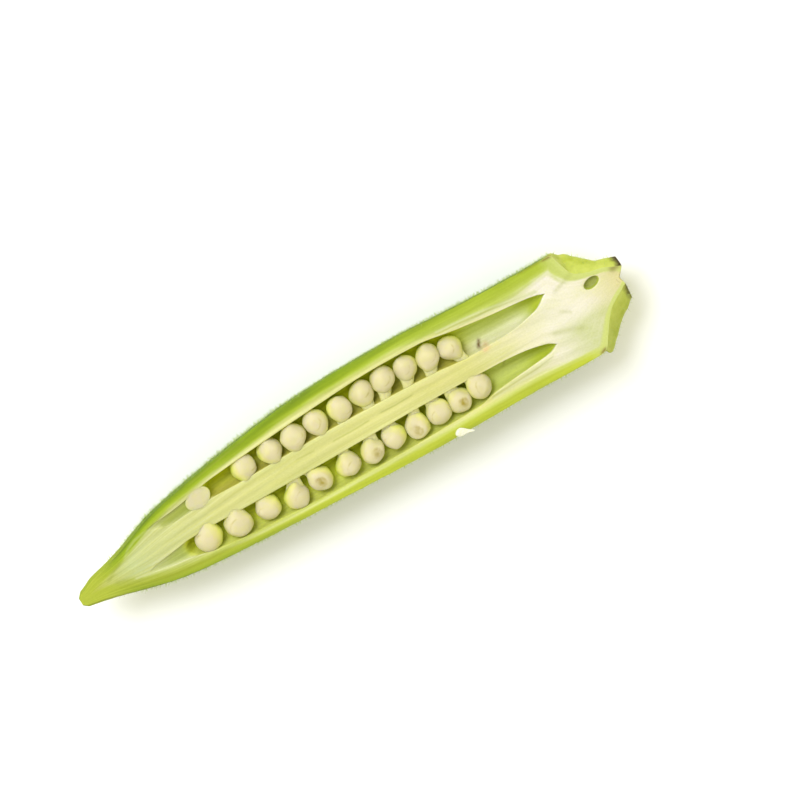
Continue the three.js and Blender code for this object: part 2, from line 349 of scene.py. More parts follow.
def top_line(x, near, far):
    """The cut face at x, from its near edge to its far one: y, z and its place in the chambers."""
    near_wall, near_column = chamber_edges(NEAR_CHAMBER, x)
    far_wall, far_column = chamber_edges(FAR_CHAMBER, x)
    outer = (max(near_wall, near + THINNEST_WALL), min(far_wall, far - THINNEST_WALL))
    marks = (near, outer[0], near_column, far_column, outer[1], far)
    y, z, side = [], [], []
    for part, count in enumerate(TOP_SIDES):
        t = np.arange(count) / count
        fall, towards_column = np.zeros(count), np.zeros(count)
        if part in (1, 3):
            turn = np.pi * t
            t = (1 - np.cos(turn)) / 2
            fall = chamber_fall(NEAR_CHAMBER if part == 1 else FAR_CHAMBER, x, turn)
            towards_column = t if part == 1 else 1 - t
        y.append(marks[part] + (marks[part + 1] - marks[part]) * t)
        z.append(-fall)
        side.append(towards_column)
    y, z = np.concatenate(y), np.concatenate(z)
    across_hole = (y - HOLE_AT[1] - HOLE_SLANT * (x - HOLE_AT[0])) / HOLE_RADII[1]
    from_hole = np.hypot((x - HOLE_AT[0]) / HOLE_RADII[0], across_hole)
    in_hole = 1 - smooth_step(from_hole, *HOLE_RIM)
    wall_gap = np.maximum(near_wall - y, y - far_wall)
    open_share = smooth_step(x, *LINING_STARTS) * (1 - smooth_step(x, *LINING_ENDS))
    column_gap = np.minimum(y - near_column, far_column - y)
    lining = [
        strength * np.exp(-(((gap - place) / LINING_HALF_WIDTH) ** 2))
        for gap, (place, strength) in ((wall_gap, WALL_LINING), (column_gap, COLUMN_LINING))
    ]
    return y, z - HOLE_DEPTH * in_hole, {
        "hollow": np.maximum(-z / FULL_HOLLOW, HOLE_HOLLOW * in_hole),
        "in_hole": in_hole,
        "chamber_side": np.concatenate(side),
        "lining": np.max(lining, axis=0) * open_share,
    }


# Sections every 0.25 mm at the nose, 0.37 mm along the body and 0.19 mm round the cap
stations = np.concatenate(
    [np.linspace(0, 3, 13)[:-1], np.linspace(3, 102, 266)[:-1], np.linspace(102, POD_LENGTH, 70)]
)
RING = SKIN_SIDES + sum(TOP_SIDES)
rings, rib, top_values = [], [], {}
for x in stations:
    skin_y, skin_z, ribs = skin_ring(x)
    top_y, top_z, places = top_line(x, skin_y[-1], skin_y[0])
    y = np.concatenate([skin_y, top_y[1:]])
    z = np.concatenate([skin_z, top_z[1:]])
    rings.append(np.column_stack([np.full(RING, x), y, z]))
    rib.append(np.concatenate([ribs, np.zeros(RING - SKIN_SIDES - 1)]))
    for name, values in places.items():
        ring_values = np.concatenate([np.zeros(SKIN_SIDES + 1), values[1:]])
        top_values.setdefault(name, []).append(ring_values)
points = np.array(rings)
flat_x, flat_y, flat_z = points[..., 0], points[..., 1], points[..., 2]
on_top = np.arange(RING)[None, :] > SKIN_SIDES
far_edge = [(x, points[k, 0, 1]) for k, x in enumerate(stations)]
near_edge = [(x, points[k, SKIN_SIDES, 1]) for k, x in enumerate(stations)]
from_far = line_distance(flat_x, flat_y, far_edge[::3] + far_edge[-1:])
from_near = line_distance(flat_x, flat_y, near_edge[::3] + near_edge[-1:])

# The values that the materials read, one for each point of the pod
pod_values = {name: np.array(values) for name, values in top_values.items()}
pod_values["rib"] = np.array(rib)
pod_values["far_side"] = (from_near - from_far) / (from_near + from_far)
far_end = smooth_step(flat_x, *FAR_CHAMBER_END) * (flat_y > 0)
near_end = smooth_step(flat_x, *NEAR_CHAMBER_END) * (flat_y <= 0)
far_groove = 1 - smooth_step(flat_x, *FAR_GROOVE_END)
near_groove = 1 - smooth_step(flat_x, *NEAR_GROOVE_END)
for name, values in (
    ("rim", np.minimum(from_far, from_near)),
    ("pale", marked(flat_x, flat_y, PALE_LINES)),
    ("olive", marked(flat_x, flat_y, OLIVE_LINES)),
    ("brown", marked(flat_x, flat_y, BROWN_LINES)),
    ("pink", marked(flat_x, flat_y, PINK_LINES)),
    ("green_tint", smooth_step(-flat_y, *LOW_CAP_ACROSS) * smooth_step(flat_x, *LOW_CAP_ALONG)),
    ("groove", np.where(flat_y > 0, far_groove, near_groove)),
    ("chamber_end", far_end + near_end),
):
    pod_values[name] = np.where(on_top, values, 0.0)

waves = [np.sin(a * flat_x + b * flat_y + c * flat_z + start) for a, b, c, start in DENT_WAVES]
outward = np.stack([np.zeros_like(flat_y), flat_y - DENT_CENTRE[0], flat_z - DENT_CENTRE[1]], -1)
outward /= np.linalg.norm(outward, axis=-1, keepdims=True)
dent_depth = np.where(on_top, 0.0, DENT_HALF_DEPTH * (np.mean(waves, axis=0) - 1))
dent_depth = dent_depth * smooth_step(flat_x, *DENTS_START)
points = points + outward * dent_depth[..., None]

on_end = smooth_step(points[..., 0], POD_LENGTH - STUB_END_LENGTH, POD_LENGTH)
far_share = smooth_step(points[..., 1], *STUB_LONG_FROM)
notch = np.exp(-(((points[..., 1] - STUB_NOTCH["at"]) / STUB_NOTCH["half_width"]) ** 2))
notch = notch * np.clip(1 + points[..., 2] / STUB_NOTCH["depth"], 0, 1)
points[..., 0] -= on_end * (STUB_SHORTER_BY * (1 - far_share) + STUB_NOTCH["length"] * notch)
body_vertices = points.reshape(-1, 3)
y_shift = (low.y + high.y) / 2 / MM - (body_vertices[:, 1].max() + body_vertices[:, 1].min()) / 2
POD_FRAME = np.array([low.x / MM, y_shift, low.z / MM - body_vertices[:, 2].min()])


def to_frame(vertices):
    """Millimetres along the pod, across the cut and above it, as metres in the part's frame."""
    return (np.asarray(vertices, float) + POD_FRAME) * MM


faces = []
count = len(stations)
for k in range(count - 1):
    for i in range(RING):
        a, b = k * RING + i, k * RING + (i + 1) % RING
        faces.append((a, a + RING, b + RING, b))
tip_centre, end_centre = len(body_vertices), len(body_vertices) + 1
centres = np.array([points[0].mean(0), points[-1].mean(0) - (STUB_END_SUNK, 0, 0)])
for i in range(RING):
    faces.append((tip_centre, i, (i + 1) % RING))
    faces.append((end_centre, (count - 1) * RING + (i + 1) % RING, (count - 1) * RING + i))


def new_piece(name, vertices, faces):
    """A smooth-shaded mesh piece whose object sits at the origin."""
    mesh = bpy.data.meshes.new(name)
    mesh.from_pydata([tuple(v) for v in vertices], [], faces)
    mesh.polygons.foreach_set("use_smooth", np.ones(len(mesh.polygons), bool))
    piece = bpy.data.objects.new(name, mesh)
    bpy.context.scene.collection.objects.link(piece)
    return piece


def point_values(piece, name, values):
    attribute = piece.data.attributes.new(name, "FLOAT", "POINT")
    attribute.data.foreach_set("value", np.asarray(values, np.float32))


def keep_inside(piece):
    """Holds a piece's outermost points inside the part's own size."""
    places = np.empty(len(piece.data.vertices) * 3, np.float32)
    piece.data.vertices.foreach_get("co", places)
    places = np.clip(places.reshape(-1, 3), np.array(low), np.array(high))
    piece.data.vertices.foreach_set("co", places.reshape(-1).astype(np.float32))


pod = new_piece("okra_pod_flesh_and_skin", to_frame(np.vstack([body_vertices, centres])), faces)
for name, values in pod_values.items():
    point_values(pod, name, np.concatenate([values.reshape(-1), [0.0, 0.0]]))
ring_of_face = np.tile(np.arange(RING), count - 1)
skin_or_flesh = np.where(ring_of_face < SKIN_SIDES, 0, 1)
pod.data.polygons.foreach_set(
    "material_index", np.concatenate([skin_or_flesh, np.tile([0, 2], RING)]).astype(np.int32)
)
edge_ends = np.empty(len(pod.data.edges) * 2, np.int32)
pod.data.edges.foreach_get("vertices", edge_ends)
edge_ends = edge_ends.reshape(-1, 2)
on_cut_edge = np.isin(edge_ends % RING, (0, SKIN_SIDES)).all(1) & (edge_ends < tip_centre).all(1)
sharp = pod.data.attributes.new("sharp_edge", "BOOLEAN", "EDGE")
sharp.data.foreach_set("value", on_cut_edge)
keep_inside(pod)


def linear(hex_colour):
    """An sRGB hex colour as linear red, green, blue and alpha."""
    parts = [int(hex_colour[k : k + 2], 16) / 255 for k in (1, 3, 5)]
    return tuple(c / 12.92 if c <= 0.04045 else ((c + 0.055) / 1.055) ** 2.4 for c in parts) + (1,)


def feed(tree, node, inputs):
    """Gives a node's inputs their sockets or their plain values."""
    for name, source in inputs.items():
        if isinstance(source, bpy.types.NodeSocket):
            tree.links.new(source, node.inputs[name])
        else:
            node.inputs[name].default_value = source


def add_node(tree, kind, inputs=None, stops=(), **settings):
    """Adds a node with its settings, its inputs and, on a colour ramp, its stops in their order.
    A map range's inputs are 0 its value, 1 and 2 its range, 3 and 4 what these become. A mix's are
    0 its share, 2 and 3 its two numbers, 6 and 7 its two colours."""
    node = tree.nodes.new(kind)
    for name, value in settings.items():
        setattr(node, name, value)
    feed(tree, node, inputs or {})
    for k, (place, colour) in enumerate(stops):
        elements = node.color_ramp.elements
        element = elements[k] if k < 2 else elements.new(place)
        element.position = place
        element.color = linear(colour)
    return node


def new_material(name):
    """An empty node material, with its tree and its shader."""
    material = bpy.data.materials.new(name)
    material.use_nodes = True
    tree = material.node_tree
    return material, tree, tree.nodes["Principled BSDF"]


def okra_skin():
    """Live okra skin: waxy green over pale cells, velvety with hairs, so it is dull.
    The cap is paler and yellower, with a brown corky ring where the calyx was."""
    material, tree, shader = new_material("okra_green_skin")
    place = add_node(tree, "ShaderNodeTexCoord").outputs["Object"]
    x, y, z = add_node(tree, "ShaderNodeSeparateXYZ", {0: place}).outputs
    rib = add_node(tree, "ShaderNodeAttribute", attribute_name="rib").outputs["Fac"]
    drawn_out = add_node(
        tree, "ShaderNodeMapping", {"Vector": place, "Scale": (0.12, 1.0, 1.0)}
    ).outputs["Vector"]
    mottle, streak, cork = (
        add_node(tree, "ShaderNodeTexNoise", inputs).outputs["Fac"]
        for inputs in (
            # Mottling of the skin, in patches about 1.5 mm wide
            {"Vector": place, "Scale": 650.0, "Detail": 6.0, "Roughness": 0.6},
            # Paler streaks between the ribs, about 1 mm by 8 mm
            {"Vector": drawn_out, "Scale": 900.0, "Detail": 4.0},
            # Breaks in the cork, about 2 mm wide
            {"Vector": place, "Scale": 480.0, "Detail": 5.0},
        )
    )
    # The velvet's pores and hair roots, about 0.3 mm apart
    pore = add_node(
        tree, "ShaderNodeTexVoronoi", {"Vector": place, "Scale": 3200.0}
    ).outputs["Distance"]
    green, streaked, cap_green = (
        add_node(tree, "ShaderNodeValToRGB", {0: source}, stops).outputs[0]
        for source, stops in (
            (mottle, ((0.3, "#3e6517"), (0.5, "#527722"), (0.72, "#688a35"))),
            (streak, ((0.35, "#466c17"), (0.7, "#74913d"))),
            (mottle, ((0.3, "#a1ad2d"), (0.7, "#bac34e"))),
        )
    )
    tip_x, middle_y, cut_z = (float(place_in_frame) * MM for place_in_frame in POD_FRAME)
    cap_x = tip_x + CAP_START * MM
    end_x = tip_x + POD_LENGTH * MM
    off_ring = add_node(
        tree, "ShaderNodeMath", {0: x, 1: cap_x + 0.0006}, operation="SUBTRACT"
    ).outputs[0]
    off_ring = add_node(tree, "ShaderNodeMath", {0: off_ring}, operation="ABSOLUTE").outputs[0]
    # How strong each change of colour is: what it follows, from where to where, and how strong there
    shares = {}
    for name, source, start, end, at_start, at_end, way in (
        ("on_rib", rib, 0.5, 1.0, 0.0, 0.5, "LINEAR"),
        # Painted shade: the yellower band just under the cut is darkened where the key light grazes it
        ("yellow_and_painted_shade_under_cut", z, cut_z - 0.0035, cut_z, 0.0, 0.6, "LINEAR"),
        # Painted light: the cap's skin just under the cut edge is lifted paler, to fill the crease's
        # shade
        ("painted_light_under_cap_edge", z, cut_z - 0.002, cut_z, 0.0, 0.4, "LINEAR"),
        ("on_cap", x, cap_x - 0.0012, cap_x + 0.0015, 0.0, 1.0, "SMOOTHSTEP"),
        ("on_tip", x, tip_x + 0.004, tip_x + 0.02, 0.95, 0.0, "SMOOTHSTEP"),
        ("on_ring", off_ring, 0.0, 0.0012, 1.0, 0.0, "LINEAR"),
        ("broken", cork, 0.42, 0.56, 0.0, 0.9, "LINEAR"),
        ("shorter", y, middle_y - 0.0005, middle_y + 0.0025, 0.0004, 0.0, "LINEAR"),
    ):
        shares[name] = add_node(
            tree,
            "ShaderNodeMapRange",
            {0: source, 1: start, 2: end, 3: at_start, 4: at_end},
            interpolation_type=way,
        ).outputs[0]
    # The corky ring is about 1 mm wide and broken up
    corky = add_node(
        tree, "ShaderNodeMath", {0: shares["on_ring"], 1: shares["broken"]}, operation="MULTIPLY"
    ).outputs[0]
    # The stub's last millimetre dried brown, on its shorter near side too
    along_stub = add_node(
        tree, "ShaderNodeMath", {0: x, 1: shares["shorter"]}, operation="ADD"
    ).outputs[0]
    ragged = add_node(
        tree, "ShaderNodeMath", {0: cork, 1: 0.0022, 2: along_stub}, operation="MULTIPLY_ADD"
    ).outputs[0]
    dried = add_node(
        tree,
        "ShaderNodeMapRange",
        {0: ragged, 1: end_x - 0.0007, 2: end_x + 0.0009, 3: 0.0, 4: 1.0},
        interpolation_type="SMOOTHSTEP",
    ).outputs[0]
    # The cap's skin over its top 2 mm under the cut edge is painted paler: painted light that fills the
    # shade of the crease along that edge
    cap_green = add_node(
        tree,
        "ShaderNodeMix",
        {0: shares["painted_light_under_cap_edge"], 6: cap_green, 7: linear("#c6cc70")},
        data_type="RGBA",
    ).outputs[2]
    # Over the green: streaks, paler ribs, the yellower skin just under the cut, toned down there as
    # painted shade where the key light grazes it, the cap, the yellower last 20 mm of the tip, the cork
    # and the dried end
    skin = green
    for share, colour in (
        (0.4, streaked),
        (shares["on_rib"], linear("#77903b")),
        (shares["yellow_and_painted_shade_under_cut"], linear("#697e20")),
        (shares["on_cap"], cap_green),
        (shares["on_tip"], linear("#939f2a")),
        (corky, linear("#745624")),
        (dried, linear("#3a2a0c")),
    ):
        skin = add_node(
            tree, "ShaderNodeMix", {0: share, 6: skin, 7: colour}, data_type="RGBA"
        ).outputs[2]
    height = add_node(
        tree, "ShaderNodeMath", {0: mottle, 1: 1.2, 2: pore}, operation="MULTIPLY_ADD"
    ).outputs[0]
    firm = add_node(
        tree, "ShaderNodeMapRange", {0: shares["on_cap"], 1: 0.0, 2: 1.0, 3: 0.45, 4: 0.12}
    ).outputs[0]
    bump = add_node(
        tree, "ShaderNodeBump", {"Strength": firm, "Distance": 0.00025, "Height": height}
    ).outputs[0]
    feed(tree, shader, {
        "Base Color": skin,
        "Normal": bump,
        "Roughness": 0.62,
        "Specular IOR Level": 0.25,
        "Subsurface Weight": 0.12,
        "Subsurface Radius": (0.6, 1.0, 0.3),
        "Subsurface Scale": 0.001,
    })
    return material


def cut_flesh():
    """Fresh cut okra flesh: watery cells, translucent and moist, so light goes a millimetre in.
    Green in the outer wall, pale inside, fibrous in the column and white in the cap."""
    material, tree, shader = new_material("okra_cut_flesh")
    place = add_node(tree, "ShaderNodeTexCoord").outputs["Object"]
    x = add_node(tree, "ShaderNodeSeparateXYZ", {0: place}).outputs["X"]
    tip_x = float(POD_FRAME[0]) * MM
    share = add_node(
        tree, "ShaderNodeMapRange", {0: x, 1: tip_x, 2: tip_x + POD_LENGTH * MM, 3: 0.0, 4: 1.0}
    ).outputs[0]
    painted = {
        name: add_node(tree, "ShaderNodeAttribute", attribute_name=name).outputs["Fac"]
        for name in pod_values
        if name != "rib"
    }
    drawn_out = add_node(
        tree, "ShaderNodeMapping", {"Vector": place, "Scale": (0.4, 1.0, 1.0)}
    ).outputs["Vector"]
    # Fibres run along the pod and close up with its sides, as if it were 21 mm wide everywhere
    along_flow = add_node(tree, "ShaderNodeMath", {0: x, 1: 0.04}, operation="MULTIPLY").outputs[0]
    across_flow = add_node(
        tree, "ShaderNodeMath", {0: painted["far_side"], 1: 0.0105}, operation="MULTIPLY"
    ).outputs[0]
    flow = add_node(tree, "ShaderNodeCombineXYZ", {0: along_flow, 1: across_flow}).outputs[0]
    cloud, juice, fibre, band, grain = (
        add_node(tree, "ShaderNodeTexNoise", inputs).outputs["Fac"]
        for inputs in (
            # Cells and juice make cloudy patches about 2.5 mm wide, drawn out along the pod
            {"Vector": drawn_out, "Scale": 420.0, "Detail": 6.0, "Roughness": 0.62},
            # Juicier patches, about 4 mm wide, are greener
            {"Vector": drawn_out, "Scale": 230.0, "Detail": 3.0},
            # Fibres are about 0.5 mm apart and 15 mm long
            {"Vector": flow, "Scale": 1900.0, "Detail": 3.0, "Roughness": 0.55},
            # Broader bands of cells, about 1 mm wide, run with them
            {"Vector": flow, "Scale": 900.0, "Detail": 4.0, "Roughness": 0.6},
            # The cut cells' grain, about 0.35 mm wide
            {"Vector": place, "Scale": 2900.0, "Detail": 3.0},
        )
    )
    # How strong each change is: what it follows, from where to where, and how strong it is there.
    # The fibres fade out at the cap. A higher number makes the wall's colours thinner, on the cap
    # and in the far side's third by the tip, and a lower one makes them wider.
    shares = {}
    for name, source, start, end, at_start, at_end, way in (
        ("in_column", share, 0.74, 0.86, 0.5, 0.06, "LINEAR"),
        ("wide_to_stem", share, 0.62, 0.8, 1.0, 0.66, "LINEAR"),
        ("thin_by_tip", share, 0.2, 0.34, 1.5, 1.0, "LINEAR"),
        ("thin_on_cap", share, 0.82, 0.9, 1.0, 1.5, "LINEAR"),
        ("on_scar", share, 0.9, 0.95, 0.0, 1.8, "LINEAR"),
        ("to_middle", share, 0.18, 0.45, 0.0, 1.0, "SMOOTHSTEP"),
        ("to_stem", share, 0.5, 0.8, 0.0, 1.0, "SMOOTHSTEP"),
        ("on_tip", share, 0.03, 0.1, 1.0, 0.0, "SMOOTHSTEP"),
        ("on_cap", share, 0.885, 0.915, 0.0, 0.85, "LINEAR"),
        ("in_empty", share, 0.7, 0.75, 0.0, 1.0, "SMOOTHSTEP"),
        ("banding", share, 0.78, 0.9, 1.0, 0.25, "LINEAR"),
        ("is_far", painted["far_side"], -0.15, 0.15, 0.0, 1.0, "LINEAR"),
        ("in_chamber", painted["hollow"], 0.0, 0.16, 0.0, 1.0, "SMOOTHSTEP"),
        ("juicy", juice, 0.45, 0.68, 0.0, 0.25, "LINEAR"),
        ("rough", cloud, 0.3, 0.7, 0.45, 0.62, "LINEAR"),
    ):
        shares[name] = add_node(
            tree,
            "ShaderNodeMapRange",
            {0: source, 1: start, 2: end, 3: at_start, 4: at_end},
            interpolation_type=way,
        ).outputs[0]
    fibrous = add_node(
        tree, "ShaderNodeMapRange", {0: fibre, 1: 0.4, 2: 0.62, 3: 0.0, 4: shares["in_column"]}
    ).outputs[0]
    tinted = add_node(
        tree, "ShaderNodeMath", {0: painted["green_tint"], 1: cloud}, operation="MULTIPLY"
    ).outputs[0]
    # The wall's colours run from the skin inwards over about 3 mm, blurred by clouds and bands
    far_thin = add_node(
        tree,
        "ShaderNodeMath",
        {0: shares["wide_to_stem"], 1: shares["thin_by_tip"]},
        operation="MULTIPLY",
    ).outputs[0]
    side_thin = add_node(tree, "ShaderNodeMix", {0: shares["is_far"], 2: 1.0, 3: far_thin}).outputs[0]
    thin = add_node(
        tree,
        "ShaderNodeMath",
        {0: shares["thin_on_cap"], 1: side_thin, 2: shares["on_scar"]},
        operation="MULTIPLY_ADD",
    ).outputs[0]
    depth = add_node(
        tree, "ShaderNodeMath", {0: painted["rim"], 1: thin}, operation="MULTIPLY"
    ).outputs[0]
    for noise, amount in ((cloud, 0.9), (band, 0.8)):
        depth = add_node(
            tree, "ShaderNodeMath", {0: noise, 1: amount, 2: depth}, operation="MULTIPLY_ADD"
        ).outputs[0]
    inwards = add_node(
        tree, "ShaderNodeMapRange", {0: depth, 1: 0.85, 2: 3.85, 3: 0.0, 4: 1.0}
    ).outputs[0]
    past_wall = add_node(
        tree,
        "ShaderNodeMapRange",
        {0: inwards, 1: 0.6, 2: 1.0, 3: 0.0, 4: 1.0},
        interpolation_type="SMOOTHSTEP",
    ).outputs[0]
    # Brown and pink marks are patchy
    patchy = add_node(
        tree, "ShaderNodeMath", {0: cloud, 1: 2.0}, operation="MULTIPLY", use_clamp=True
    ).outputs[0]
    pink, brown = (
        add_node(
            tree, "ShaderNodeMath", {0: painted[name], 1: patchy}, operation="MULTIPLY"
        ).outputs[0]
        for name in ("pink", "brown")
    )
    # The flesh inside the wall from tip to stem, the wall at four places from the skin inwards, the
    # chambers across their width, and three faint patterns that darken what they lie on
    wall_stops = (0.0, 0.15, 0.4, 0.62, 1.0)
    colours = {}
    for name, source, stops in (
        (
            "inner",
            share,
            (
                (0.03, "#b2b742"),
                (0.06, "#bec372"),
                (0.1, "#c6cf9c"),
                (0.145, "#cdd0a0"),
                (0.28, "#d6d496"),
                (0.39, "#d9d796"),
                (0.55, "#dfda9a"),
                (0.71, "#e2db9c"),
                (0.785, "#e6e0bc"),
                (0.86, "#ebe5da"),
                (0.92, "#e9e3d4"),
                (1.0, "#d6cb8c"),
            ),
        ),
        ("near_tip", inwards, zip(wall_stops, ("#8a9d2a", "#98a82c", "#a6b036", "#b8c15a", "#cad07c"))),
        ("near_wall", inwards, zip(wall_stops, ("#abb548", "#b8c236", "#c0c944", "#cad26c", "#d7da8c"))),
        ("far_wall", inwards, zip(wall_stops, ("#728828", "#859f18", "#96ad16", "#a9bb34", "#bcc564"))),
        ("far_stem", inwards, zip(wall_stops, ("#98a832", "#a6b830", "#b2c142", "#bfcb62", "#ced38c"))),
        (
            "near_chamber",
            painted["chamber_side"],
            ((0.04, "#e4e97a"), (0.3, "#d6dd3c"), (0.85, "#d0d724"), (1.0, "#ccd320")),
        ),
        (
            "far_chamber",
            painted["chamber_side"],
            ((0.0, "#dfea20"), (0.25, "#d2da18"), (0.6, "#c8cc1c"), (0.95, "#c6bf58")),
        ),
        (
            "far_empty",
            painted["chamber_side"],
            ((0.1, "#cbdb62"), (0.45, "#c4cf70"), (0.7, "#c6ca8a"), (0.95, "#eeead0")),
        ),
        ("clouds", cloud, ((0.35, "#e9e9e0"), (0.65, "#ffffff"))),
        ("bands", band, ((0.36, "#e6e8d6"), (0.62, "#ffffff"))),
        ("grains", grain, ((0.32, "#f4f5ee"), (0.68, "#fcfcfc"))),
    ):
        colours[name] = add_node(tree, "ShaderNodeValToRGB", {0: source}, stops).outputs[0]
    is_far = shares["is_far"]
    for name, strength, under, over, blend in (
        # The column's fibres, the juicier patches and the greener lower side of the cap
        ("inner", fibrous, "inner", "#c8c76e", "MIX"),
        ("inner", shares["juicy"], "inner", "#ccd07e", "MIX"),
        ("inner", tinted, "inner", "#aebc4e", "MIX"),
        # The wall on either side, its paler tip, and the cap's rim, as pale as the cap's skin just under
        # the edge, which is painted paler there as painted light
        ("near_wall", shares["to_middle"], "near_tip", "near_wall", "MIX"),
        ("far_wall", shares["to_stem"], "far_wall", "far_stem", "MIX"),
        ("wall", is_far, "near_wall", "far_wall", "MIX"),
        ("wall", shares["on_tip"], "wall", "#b4be40", "MIX"),
        ("wall", shares["on_cap"], "wall", "#cad182", "MIX"),
        ("flesh", past_wall, "wall", "inner", "MIX"),
        # The chambers' parchment lining and the wall's layers show as pale and olive lines. One olive
        # mark, in the far chamber's shallow groove before the sliced seed, is painted shade.
        ("flesh", painted["lining"], "flesh", "#dfe0a8", "MIX"),
        ("flesh", painted["olive"], "flesh", "#9ca43c", "MIX"),
        ("flesh", painted["pale"], "flesh", "#dadcb0", "MIX"),
        # The chambers are olive green, paler on the sides that face the far skin. The far one is
        # cream beside the column in its empty end.
        ("chamber", is_far, "near_chamber", "far_chamber", "MIX"),
        ("chamber", 1.0, "chamber", "clouds", "MULTIPLY"),
        ("empty", is_far, "#cbd470", "far_empty", "MIX"),
        ("empty", painted["chamber_end"], "empty", "#b3c03a", "MIX"),
        ("chamber", shares["in_empty"], "chamber", "empty", "MIX"),
        # The shallow groove before the first seeds is greyer, and browner on the far side
        ("groove", is_far, "#aab45e", "#a0aa48", "MIX"),
        ("chamber", painted["groove"], "chamber", "groove", "MIX"),
        ("chamber", painted["in_hole"], "chamber", "#abb05c", "MIX"),
        ("flesh", shares["in_chamber"], "flesh", "chamber", "MIX"),
        # A few scars, then the bands and the grain over everything
        ("flesh", pink, "flesh", "#e4c096", "MIX"),
        ("flesh", brown, "flesh", "#6e4a1c", "MIX"),
        ("flesh", shares["banding"], "flesh", "bands", "MULTIPLY"),
        ("flesh", 1.0, "flesh", "grains", "MULTIPLY"),
    ):
        below, above = (colours[side] if side in colours else linear(side) for side in (under, over))
        colours[name] = add_node(
            tree,
            "ShaderNodeMix",
            {0: strength, 6: below, 7: above},
            data_type="RGBA",
            blend_type=blend,
        ).outputs[2]
    height = add_node(
        tree, "ShaderNodeMath", {0: fibre, 1: 0.5, 2: cloud}, operation="MULTIPLY_ADD"
    ).outputs[0]
    bump = add_node(
        tree, "ShaderNodeBump", {"Strength": 0.4, "Distance": 0.00025, "Height": height}
    ).outputs[0]
    feed(tree, shader, {
        "Base Color": colours["flesh"],
        "Normal": bump,
        "Roughness": shares["rough"],
        "Specular IOR Level": 0.25,
        "Subsurface Weight": 0.4,
        "Subsurface Radius": (1.0, 1.0, 0.4),
        "Subsurface Scale": 0.0013,
    })
    return material


def stub_end():
    """The stem's broken end: pithy, dried yellow and brown at its rim."""
    material, tree, shader = new_material("okra_stem_broken_end")
    place = add_node(tree, "ShaderNodeTexCoord").outputs["Object"]
    # Pith and fibre ends, about 0.6 mm apart
    pith = add_node(
        tree, "ShaderNodeTexNoise", {"Vector": place, "Scale": 1600.0, "Detail": 4.0}
    ).outputs["Fac"]
    colour = add_node(
        tree,
        "ShaderNodeValToRGB",
        {0: pith},
        ((0.3, "#7d682c"), (0.5, "#b5a95b"), (0.7, "#d3ca92")),
    ).outputs[0]
    bump = add_node(
        tree, "ShaderNodeBump", {"Strength": 0.6, "Distance": 0.0003, "Height": pith}
    ).outputs[0]
    feed(tree, shader, {"Base Color": colour, "Normal": bump, "Roughness": 0.75})
    return material


for material in (okra_skin(), cut_flesh(), stub_end()):
    pod.data.materials.append(material)
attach(pod, "root")
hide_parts("okra_pod_half")

# The seeds: whole, cream and moist, each on a short stalk from the column. They sit in two rows, the
# pitch shrinking towards the stem, and the far row's first seed was sliced off level in the flesh.
SEED_RADIUS = 2.36
PLUMP_SEEDS = 3
SEED_DEPTH = 1.4
SEED_WANDER = 0.45
DEPTH_WANDER = 0.3
STALK_LEAN = 1.6
STALK_ROOT = 1.2
STALK_WIDTH = 1.0
STALK_HEIGHT = 0.5
STALK_ROOT_DEPTH = 0.66
SLICED_SEED = (27.8, 5.6, -0.05)
SLICED_SEED_RADII = (1.75, 2.6, 1.0)
SLICED_SEED_RISE = 0.14
SLICED_SEED_WAY = (0.2, -1, 0)
FIRST_OPENED_SEED = 4
# The stalk's width as shares of its own: at the seed, where and how far it narrows, and at its root
STALK_TOP = 1.8
STALK_NARROWS = (0.1, 0.8)
STALK_NARROWS_BY = 0.7
STALK_ROOT_FLARE = 0.3
STALK_ROOT_BLUNTNESS = 12
# The beak where the stalk meets the seed, the lumps and the top, for a seed of unit radius
BEAK_LENGTH = 0.22
BEAK_HALF_WIDTH = 0.5
SEED_LUMPS = 0.02
SEED_TOP = Vector((0.05, 0.05, 1))
# A groove round a seed's top: how far off the top, how wide and towards which side, in radians
FOLD = (0.62, 0.1, 4)
FOLD_DEPTH = 0.025
LIP = (0.5, 0.13, 2)
LIP_DEPTH = 0.04
# Where the knife opened a seed: a bowl round its top, with a slit in it
BOWL_HALF_WIDTH = 0.62
BOWL_DEPTH = 0.1
SLIT_MIDDLE = (0.05, 0.12)
SLIT_RADII = (0.36, 0.17)
SLIT_DEPTH = 0.1
SEED_RINGS = 24
SEED_SIDES = 32
FAR_ROW = {"start": 37.9, "pitch": 5.28, "shrink": 0.06, "count": 10, "plump": 0.05, "is_near": False}
NEAR_ROW = {"start": 25.6, "pitch": 6.14, "shrink": 0.094, "count": 12, "plump": 0.15, "is_near": True}
SEED_ROLL = 0.6
LUMP_SCALE = 300.0
SIZE_DRAW = 3
draw_state = 11


def draw():
    """Small repeatable draws between -1 and 1, so that the seeds sit a little unevenly."""
    global draw_state
    draw_state = draw_state * 16807 % 2147483647
    return 2 * draw_state / 2147483647 - 1


def seed_places(row, chamber):
    """Each seed's middle and radius, the way to its stalk's root, and whether it is cut open."""
    places = []
    for k in range(row["count"]):
        x = row["start"] + row["pitch"] * k - row["shrink"] * k * k + SEED_WANDER / 2 * draw()
        wall, column = along(chamber, x, 1), along(chamber, x, 2)
        inward = 1 if column > wall else -1
        y = (wall + column) / 2 + SEED_WANDER * draw()
        root = Vector((x + STALK_LEAN * draw(), column + inward * STALK_ROOT, -STALK_ROOT_DEPTH))
        middle = Vector((x, y, -SEED_DEPTH + DEPTH_WANDER * draw()))
        is_opened = row["is_near"] and k >= FIRST_OPENED_SEED and k % 2 == 0
        radius = SEED_RADIUS * (1 + row["plump"] * max(0, 1 - k / PLUMP_SEEDS))
        places.append((middle, radius, root - middle, is_opened))
    return places


def top_groove(off_top, heading, off, half_width, towards):
    """How deep a curved groove is at a place on a seed, from 0 to 1."""
    return math.exp(-(((off_top - off) / half_width) ** 2)) * max(0, math.cos(heading - towards))


